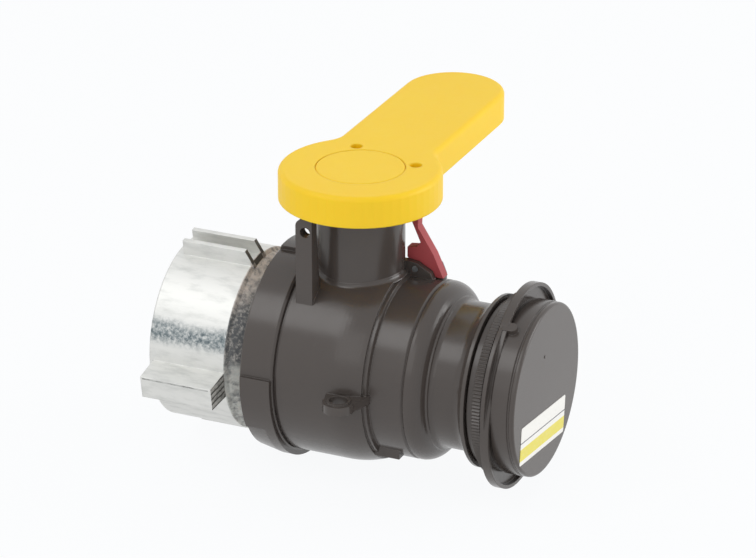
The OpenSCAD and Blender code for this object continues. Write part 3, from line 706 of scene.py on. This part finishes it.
# PTFE seats and bearings: white, waxy, turned from bar
SEAT_PLASTIC = TurnedRing("White turned fluoropolymer", "#efeee8", 0.34, second="#e4e2da")
# Nitrile rubber seals: black and matte
SEAL_RUBBER = TurnedRing("Black nitrile rubber", "#262525", 0.62, second="#302f2e", ior=1.52, ring_mm=1.1)
# Plated screw, washer, pin and spring: bright and cool
FASTENER_STEEL = PlatedSteel("Zinc-plated steel", "#c4c8cb", 0.3)
# Die-cast nut: bright metal straight from the die
NUT_METAL = DieCastMetal("Die-cast aluminium", "#e2e2df", 0.55)
# Flash squeezed out between the die's halves: greyer, and broken into dark nicks
FLASH_METAL = replace(
    NUT_METAL, name="Ragged die-cast flash", colour="#c6c7c4", cloud="#3c3e3b", streak_mm=0.8
)
# Webs sawn off with the fins: the nut's metal, with its sawn ends from nearer the wall
WEB_METAL = replace(NUT_METAL, name="Sawn die-cast aluminium", wall_mm=35.6)
# Label stuck on the cap: smooth white film with a slight gloss
LABEL_FILM = LabelFilm("Printed vinyl film", "#f4f3ee", 0.32)

NODE_FINISH: dict[Slot, tuple[Finish, tuple[str, ...]]] = {
    Slot.BODY: (BODY_PLASTIC, ("valve_body", "inlet_collar", "tamper_ring", "dust_cap")),
    Slot.NUT: (NUT_METAL, ("union_nut",)),
    Slot.HANDLE: (HANDLE_PLASTIC, ("handle", "hub_cover")),
    Slot.LATCH: (LATCH_PLASTIC, ("lock_latch",)),
    Slot.RUBBER: (
        SEAL_RUBBER,
        (
            "collar_o_ring", "inlet_gasket", "inlet_seat_ring", "outlet_seat_ring", "stem_o_rings",
            "cap_gasket",
        ),
    ),
    Slot.SEAT: (
        SEAT_PLASTIC,
        ("nut_retaining_ring", "inlet_seat", "outlet_seat", "thrust_washer", "stem_bush"),
    ),
    Slot.STEM: (STEM_PLASTIC, ("ball", "stem")),
    Slot.STEEL: (FASTENER_STEEL, ("handle_washer", "handle_screw", "latch_pin", "latch_spring")),
}


def new_piece(
    name: str, mesh: bmesh.types.BMesh, body: Body, material: bpy.types.Material
) -> bpy.types.Object:
    """Turns a finished bmesh into a piece that rides on a body.

    Args:
        name: Name of the piece.
        mesh: Closed mesh in metres, in the frame of the solids. It is freed here.
        body: Body that carries the piece.
        material: Finish of the piece.

    Returns:
        The new object.
    """
    bmesh.ops.remove_doubles(mesh, verts=mesh.verts, dist=MERGE_MM * MM)
    bmesh.ops.recalc_face_normals(mesh, faces=mesh.faces)
    data = bpy.data.meshes.new(name)
    mesh.to_mesh(data)
    mesh.free()
    piece = bpy.data.objects.new(name, data)
    bpy.context.scene.collection.objects.link(piece)
    data.materials.append(material)
    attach(piece, body.value)
    LOG.info("%s: %d faces on %s", name, len(data.polygons), body.value)
    return piece


@dataclass
class CoarseThread:
    """A coarse buttress thread that winds round the pipe, on the outside or the inside of a wall."""

    name: str
    body: Body
    slot: Slot
    root_mm: float
    crest_mm: float
    start_mm: float
    end_mm: float
    start_deg: float = 0.0
    pitch_mm: float = 6.0
    base_mm: float = 2.6
    crest_w_mm: float = 1.2
    lean_mm: float = 0.3
    steps_per_turn: int = 60
    # Steps in which each end fades into the wall, and the least share of the height that it keeps
    fade_steps: int = 8
    least_share: float = 0.05

    def build(self, material: bpy.types.Material) -> bpy.types.Object:
        """Sweeps the thread's profile round the pipe and fades its two ends into the wall.

        Args:
            material: Finish of the piece that carries the thread.

        Returns:
            The thread.
        """
        mesh = bmesh.new()
        half, top = self.base_mm / 2, self.crest_w_mm / 2
        profile = [
            (self.start_mm - half, self.root_mm),
            (self.start_mm + half, self.root_mm),
            (self.start_mm + top + self.lean_mm, self.crest_mm),
            (self.start_mm - top + self.lean_mm, self.crest_mm),
        ]
        turn = Matrix.Rotation(math.radians(self.start_deg), 4, "X")
        corners = [mesh.verts.new(turn @ Vector((x * MM, 0, r * MM))) for x, r in profile]
        face = mesh.faces.new(corners)
        turns = (self.end_mm - self.start_mm) / self.pitch_mm
        steps = round(turns * self.steps_per_turn)
        bmesh.ops.spin(
            mesh, geom=[face, *face.edges, *corners], cent=(0, 0, 0), axis=(1, 0, 0),
            dvec=(self.pitch_mm * MM / self.steps_per_turn, 0, 0),
            angle=math.tau * steps / self.steps_per_turn, steps=steps, use_merge=False,
        )
        mesh.verts.ensure_lookup_table()
        root = self.root_mm * MM
        for index, vert in enumerate(mesh.verts):
            step = index // len(profile)
            fade = min(1.0, step / self.fade_steps, (steps - step) / self.fade_steps)
            reach = math.hypot(vert.co.y, vert.co.z)
            kept = root + (reach - root) * max(fade, self.least_share)
            vert.co.y *= kept / reach
            vert.co.z *= kept / reach
        bmesh.ops.holes_fill(mesh, edges=mesh.edges, sides=len(profile))
        return new_piece(self.name, mesh, self.body, material)


@dataclass
class TowerFoot:
    """The rounded foot where the stem tower grows out of the barrel."""

    tower_r_mm: float = 17.65
    barrel_r_mm: float = 41.15
    # Where the barrel starts to round down towards the outlet, and the radius of that rounding
    taper_start_mm: float = 4.0
    taper_r_mm: float = 36.8
    radius_mm: float = 1.6
    # Share of the radius that is left on the inlet's side, and how sharply the foot thins there
    rear_share: float = 0.15
    rear_power: int = 4
    sunk_mm: float = 0.6
    steps: int = 144
    arc_steps: int = 6

    def barrel_top(self, x: float, y: float) -> float:
        """Gives the height of the barrel over a point.

        Args:
            x: Place along the pipe from the stem axis, in millimetres.
            y: Place across the pipe, in millimetres.

        Returns:
            Height of the barrel's surface in millimetres.
        """
        past = max(0.0, x - self.taper_start_mm)
        radius = self.barrel_r_mm - self.taper_r_mm + math.sqrt(self.taper_r_mm**2 - past**2)
        return math.sqrt(radius**2 - y**2)

    def section(self, angle: float) -> list[tuple[float, float]]:
        """Gives the foot's section at one angle round the stem.

        Args:
            angle: Angle from the outlet's side in radians.

        Returns:
            Points of distance from the stem axis and height, in millimetres. The outer curve is
            hollow and the rest lies inside the tower and the barrel.
        """
        across, out = math.sin(angle), math.cos(angle)
        reach = self.radius_mm * (1 - (1 - self.rear_share) * max(0.0, -out) ** self.rear_power)
        wide = self.tower_r_mm + reach
        corner = self.barrel_top(self.tower_r_mm * out, self.tower_r_mm * across)
        end = self.barrel_top(wide * out, wide * across)
        points = []
        for step in range(self.arc_steps + 1):
            t = step / self.arc_steps
            upper, middle, lower = (1 - t) ** 2, 2 * t * (1 - t), t**2
            points.append((
                (upper + middle) * self.tower_r_mm + lower * wide,
                upper * (corner + reach) + middle * corner + lower * end,
            ))
        inside = self.tower_r_mm - self.sunk_mm
        below = self.sunk_mm
        return [*points, (wide, end - below), (inside, corner - below), (inside, corner + reach)]

    def build(self, material: bpy.types.Material) -> bpy.types.Object:
        """Spins the outlet side's section round the stem, then fits each vertex to its own section.

        Args:
            material: Finish of the valve body.

        Returns:
            The foot.
        """
        mesh = bmesh.new()
        start = self.section(0.0)
        corners = [mesh.verts.new(((STEM_X_MM + r) * MM, 0, z * MM)) for r, z in start]
        loop = [mesh.edges.new((corners[k - 1], corners[k])) for k in range(len(corners))]
        bmesh.ops.spin(
            mesh, geom=[*corners, *loop], cent=(STEM_X_MM * MM, 0, 0), axis=(0, 0, 1),
            angle=math.tau, steps=self.steps, use_merge=True,
        )
        for vert in mesh.verts:
            x, y, z = vert.co.x / MM - STEM_X_MM, vert.co.y / MM, vert.co.z / MM
            angle = math.atan2(y, x)
            gaps = [math.dist(point, (math.hypot(x, y), z)) for point in start]
            r, z = self.section(angle)[gaps.index(min(gaps))]
            vert.co = ((STEM_X_MM + r * math.cos(angle)) * MM, r * math.sin(angle) * MM, z * MM)
        for face in mesh.faces:
            face.smooth = True
        return new_piece("tower_foot", mesh, Body.VALVE, material)


@dataclass
class CapLabel:
    """The printed label stuck on the end of the dust cap."""

    face_mm: float
    middle_mm: tuple[float, float] = (-3.6, -15.9)
    size_mm: tuple[float, float] = (46.5, 15.6)
    turn_deg: float = -6.5
    thick_mm: float = 0.14
    # Share of the thickness by which its middle stands off the cap
    proud_share: float = 0.45
    corner_mm: float = 0.8
    corner_steps: int = 4

    def build(self) -> bpy.types.Object:
        """Makes the thin plate with rounded corners and lays it on the cap's end.

        Returns:
            The label.
        """
        film = replace(LABEL_FILM, middle_mm=self.middle_mm, turn_deg=self.turn_deg).build()
        mesh = bmesh.new()
        bmesh.ops.create_cube(mesh, size=1)
        bmesh.ops.scale(
            mesh, verts=mesh.verts, vec=(self.thick_mm * MM, self.size_mm[0] * MM, self.size_mm[1] * MM)
        )
        upright = [e for e in mesh.edges if abs((e.verts[0].co - e.verts[1].co).x) > self.thick_mm * MM / 2]
        bmesh.ops.bevel(
            mesh, geom=upright, offset=self.corner_mm * MM, offset_type="OFFSET", affect="EDGES",
            segments=self.corner_steps, profile=0.5, material=-1,
        )
        turn = Matrix.Rotation(math.radians(self.turn_deg), 3, "X")
        bmesh.ops.rotate(mesh, verts=mesh.verts, cent=(0, 0, 0), matrix=turn)
        stand = self.face_mm + self.thick_mm * self.proud_share
        bmesh.ops.translate(
            mesh, verts=mesh.verts, vec=(stand * MM, self.middle_mm[0] * MM, self.middle_mm[1] * MM)
        )
        return new_piece("cap_label", mesh, Body.CAP, film)


@dataclass
class GateMark:
    """The small pip that the moulding gate leaves on the end of the dust cap."""

    face_mm: float
    middle_mm: tuple[float, float] = (-2.5, 15.3)
    radius_mm: float = 0.9
    top_share: float = 0.6
    height_mm: float = 0.3
    sunk_mm: float = 0.05
    steps: int = 20

    def build(self, material: bpy.types.Material) -> bpy.types.Object:
        """Makes the pip as a low cone frustum.

        Args:
            material: Finish of the cap.

        Returns:
            The gate mark.
        """
        mesh = bmesh.new()
        turn = Matrix.Rotation(math.radians(90), 4, "Y")
        stand = self.face_mm + self.height_mm / 2 - self.sunk_mm
        place = Matrix.Translation((stand * MM, self.middle_mm[0] * MM, self.middle_mm[1] * MM))
        bmesh.ops.create_cone(
            mesh, cap_ends=True, segments=self.steps, radius1=self.radius_mm * MM,
            radius2=self.radius_mm * self.top_share * MM, depth=self.height_mm * MM, matrix=place @ turn,
        )
        return new_piece("gate_mark", mesh, Body.CAP, material)


@dataclass
class FlashLine:
    """The thin fin of metal that the die's parting line leaves along a drive lug of the nut."""

    lug_turn_deg: float = LUG_TURN_DEG
    lug_reach_mm: float = 48.3
    start_mm: float = 2.6
    end_mm: float = 31.8
    # Height of the line above the lug's middle
    offset_mm: float = 4.0
    width_mm: float = 0.5
    height_mm: float = 0.3
    edge_mm: float = 0.1
    edge_steps: int = 2

    def build(self, name: str, side: Side, material: bpy.types.Material) -> bpy.types.Object:
        """Makes the fin along one lug.

        Args:
            name: Name of the piece.
            side: Side of the nut that the lug is on.
            material: Finish of the flash.

        Returns:
            The flash line.
        """
        mesh = bmesh.new()
        bmesh.ops.create_cube(mesh, size=1)
        length = self.end_mm - self.start_mm
        bmesh.ops.scale(
            mesh, verts=mesh.verts, vec=(length * MM, self.height_mm * MM, self.width_mm * MM)
        )
        bmesh.ops.bevel(
            mesh, geom=list(mesh.edges), offset=self.edge_mm * MM, offset_type="OFFSET", affect="EDGES",
            segments=self.edge_steps, profile=0.5, material=-1,
        )
        place = ((self.start_mm + length / 2) * MM, -self.lug_reach_mm * MM, self.offset_mm * MM)
        bmesh.ops.translate(mesh, verts=mesh.verts, vec=place)
        turn = Matrix.Rotation(math.radians(self.lug_turn_deg + side.value), 3, "X")
        bmesh.ops.rotate(mesh, verts=mesh.verts, cent=(0, 0, 0), matrix=turn)
        return new_piece(name, mesh, Body.NUT, material)


@dataclass
class FinWeb:
    """The low web that joins a pair of the nut's fins at their sawn ends."""

    # Corners by place along the pipe and distance from its axis
    outline_mm: tuple[tuple[float, float], ...] = ((28.5, 35.9), (28.5, 37.0), (33.5, 38.2), (34.45, 35.9))
    half_w_mm: float = 3.6
    turn_deg: float = 270.0 + LUG_TURN_DEG

    def build(self, name: str, side: Side, material: bpy.types.Material) -> bpy.types.Object:
        """Makes the web between one pair of fins.

        Args:
            name: Name of the piece.
            side: Side of the nut that the fins are on.
            material: Finish of the web.

        Returns:
            The web.
        """
        mesh = bmesh.new()
        corners = [mesh.verts.new((x * MM, -r * MM, -self.half_w_mm * MM)) for x, r in self.outline_mm]
        face = mesh.faces.new(corners)
        grown = bmesh.ops.extrude_face_region(mesh, geom=[face])
        moved = [item for item in grown["geom"] if isinstance(item, bmesh.types.BMVert)]
        bmesh.ops.translate(mesh, verts=moved, vec=(0, 0, 2 * self.half_w_mm * MM))
        turn = Matrix.Rotation(math.radians(self.turn_deg + side.value), 3, "X")
        bmesh.ops.rotate(mesh, verts=mesh.verts, cent=(0, 0, 0), matrix=turn)
        return new_piece(name, mesh, Body.NUT, material)


@dataclass
class Valve:
    """The valve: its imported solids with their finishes, and the pieces that the scene adds."""

    nodes: Mapping[str, bpy.types.Object]
    # Start of the outlet's thread from the stem axis, and the length that it winds along
    outlet_mm: float = 68.0
    outlet_wind_mm: float = 4.9

    def dress(self) -> dict[Slot, bpy.types.Material]:
        """Gives each solid its finish.

        Returns:
            The made materials by slot.
        """
        made: dict[Slot, bpy.types.Material] = {}
        for slot, (finish, names) in NODE_FINISH.items():
            made[slot] = finish.build()
            for name in names:
                data = self.nodes[name].data
                data.materials.clear()
                data.materials.append(made[slot])
            LOG.info("%s on %s", finish.name, ", ".join(names))
        return made

    def add_threads(self, made: Mapping[Slot, bpy.types.Material]) -> None:
        """Winds the coarse threads on the outlet, in the cap and in the union nut.

        Args:
            made: Materials by slot.
        """
        start = STEM_X_MM + self.outlet_mm
        end = start + self.outlet_wind_mm
        threads = (
            CoarseThread(
                "outlet_thread", Body.VALVE, Slot.BODY,
                root_mm=28.22, crest_mm=29.5, start_mm=start, end_mm=end,
            ),
            CoarseThread(
                "cap_thread", Body.CAP, Slot.BODY,
                root_mm=29.98, crest_mm=28.75, start_mm=start, end_mm=end, start_deg=180.0,
            ),
            CoarseThread(
                "nut_thread", Body.NUT, Slot.NUT,
                root_mm=30.28, crest_mm=28.7, start_mm=2.6, end_mm=24.2,
            ),
        )
        for thread in threads:
            thread.build(made[thread.slot])

    def add_marks(self, made: Mapping[Slot, bpy.types.Material]) -> None:
        """Adds the tower's foot, the cap's label and gate mark, and the nut's flash lines and fin webs.

        Args:
            made: Materials by slot.
        """
        TowerFoot().build(made[Slot.BODY])
        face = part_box("dust_cap")[1].x / MM
        CapLabel(face).build()
        GateMark(face).build(made[Slot.BODY])
        flash, ragged = FlashLine(), FLASH_METAL.build()
        flash.build("near_flash_line", Side.SEEN, ragged)
        flash.build("far_flash_line", Side.OPPOSITE, ragged)
        web, sawn = FinWeb(), WEB_METAL.build()
        web.build("upper_fin_web", Side.SEEN, sawn)
        web.build("lower_fin_web", Side.OPPOSITE, sawn)


@dataclass(frozen=True)
class SoftBox:
    """A square studio lamp, with its place and size in metres and its power in watts."""

    name: str
    place: tuple[float, float, float]
    size: float
    power: float

    def hang(self, aim: Vector) -> None:
        """Hangs the lamp and turns it to a point.

        Args:
            aim: Point that it shines at, in metres.
        """
        lamp = bpy.data.lights.new(self.name, "AREA")
        lamp.shape = "SQUARE"
        lamp.size = self.size
        lamp.energy = self.power
        box = bpy.data.objects.new(self.name, lamp)
        box.location = self.place
        box.rotation_euler = (aim - Vector(self.place)).to_track_quat("-Z", "Y").to_euler()
        bpy.context.scene.collection.objects.link(box)


@dataclass
class Studio:
    """Plain pale floor, soft light and the camera of the photograph's view."""

    floor_z_mm: float
    target_mm: tuple[float, float, float] = (83.31, 0.0, 34.42)
    camera_mm: tuple[float, float, float] = (642.52, -1256.62, 642.20)
    lens_mm: float = 181.70
    sensor_mm: float = 36.0
    # Far limit of the view and half the floor's side, in metres
    view_depth: float = 50.0
    floor_half: float = 6.0
    backdrop: str = "#fdfeff"
    sky: str = "#ffffff"
    sky_strength: float = 0.74
    floor_paint: str = "#f4f4f4"
    floor_glow: float = 0.94
    lamps: tuple[SoftBox, ...] = (
        SoftBox("key_box", (-0.44, -0.68, 1.08), 0.6, 2.4),
        SoftBox("right_box", (1.12, 0.58, 0.36), 0.6, 4.4),
        SoftBox("front_box", (0.1, -1.2, 0.8), 0.9, 1.5),
    )

    def build(self) -> None:
        """Sets the view, the world, the floor, the lamps and the camera."""
        scene = bpy.context.scene
        scene.view_settings.view_transform = "Standard"
        self.set_world(scene)
        self.add_floor(scene)
        for lamp in self.lamps:
            lamp.hang(Vector(self.target_mm) * MM)
        self.add_camera(scene)

    def seen_directly(self, tree: bpy.types.NodeTree) -> Socket:
        """Joins the camera, glossy and transmission rays.

        Args:
            tree: Node tree that gets the nodes.

        Returns:
            A socket that is one for those rays and zero for others.
        """
        rays = add_node(tree, "LightPath", {}).outputs
        pair = add_node(tree, "Math", {
            "operation": "MAXIMUM", 0: rays["Is Camera Ray"], 1: rays["Is Glossy Ray"],
        })
        return add_node(tree, "Math", {
            "operation": "MAXIMUM", 0: pair.outputs[0], 1: rays["Is Transmission Ray"],
        }).outputs[0]

    def set_world(self, scene: bpy.types.Scene) -> None:
        """Makes a world that is white to the eye and in reflections, and a soft grey light otherwise.

        Args:
            scene: Scene that gets the world.
        """
        world = bpy.data.worlds.new("Studio")
        scene.world = world
        world.use_nodes = True
        tree = world.node_tree
        tree.nodes.clear()
        soft = add_node(tree, "Background", {"Color": linear(self.sky), "Strength": self.sky_strength})
        white = add_node(tree, "Background", {"Color": linear(self.backdrop), "Strength": 1.0})
        mixed = add_node(tree, "MixShader", {
            0: self.seen_directly(tree), 1: soft.outputs[0], 2: white.outputs[0],
        })
        add_node(tree, "OutputWorld", {"Surface": mixed.outputs[0]})

    def add_floor(self, scene: bpy.types.Scene) -> None:
        """Lays a wide white floor that keeps a faint shadow.

        Args:
            scene: Scene that gets the floor.
        """
        mesh = bmesh.new()
        bmesh.ops.create_grid(mesh, x_segments=1, y_segments=1, size=self.floor_half)
        bmesh.ops.translate(mesh, verts=mesh.verts, vec=(0, 0, self.floor_z_mm * MM))
        data = bpy.data.meshes.new("floor")
        mesh.to_mesh(data)
        mesh.free()
        floor = bpy.data.objects.new("floor", data)
        scene.collection.objects.link(floor)
        material = bpy.data.materials.new("White floor")
        material.use_nodes = True
        tree = material.node_tree
        tree.nodes.clear()
        share = add_node(tree, "Math", {
            "operation": "MULTIPLY", 0: self.seen_directly(tree), 1: self.floor_glow,
        })
        paint = add_node(tree, "BsdfDiffuse", {"Color": linear(self.floor_paint)})
        glow = add_node(tree, "Emission", {"Color": linear(self.backdrop), "Strength": 1.0})
        mixed = add_node(tree, "MixShader", {
            0: share.outputs[0], 1: paint.outputs[0], 2: glow.outputs[0],
        })
        add_node(tree, "OutputMaterial", {"Surface": mixed.outputs[0]})
        data.materials.append(material)
        floor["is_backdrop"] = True

    def add_camera(self, scene: bpy.types.Scene) -> None:
        """Sets the camera that fits the photograph.

        Args:
            scene: Scene that gets the camera.
        """
        data = bpy.data.cameras.new("camera")
        data.lens = self.lens_mm
        data.sensor_width = self.sensor_mm
        data.clip_end = self.view_depth
        camera = bpy.data.objects.new("camera", data)
        place = Vector(self.camera_mm) * MM
        camera.location = place
        camera.rotation_euler = (Vector(self.target_mm) * MM - place).to_track_quat("-Z", "Y").to_euler()
        scene.collection.objects.link(camera)
        scene.camera = camera


def main() -> None:
    """Builds the scene in order: the solids, their finishes, the added pieces and the studio."""
    logging.basicConfig(level=logging.INFO, format="%(name)s: %(message)s")
    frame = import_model()
    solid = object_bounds()
    valve = Valve(frame["nodes"])
    made = valve.dress()
    valve.add_threads(made)
    valve.add_marks(made)
    Studio(solid[0].z / MM - FLOOR_GAP_MM).build()


if __name__ == "__main__":
    main()
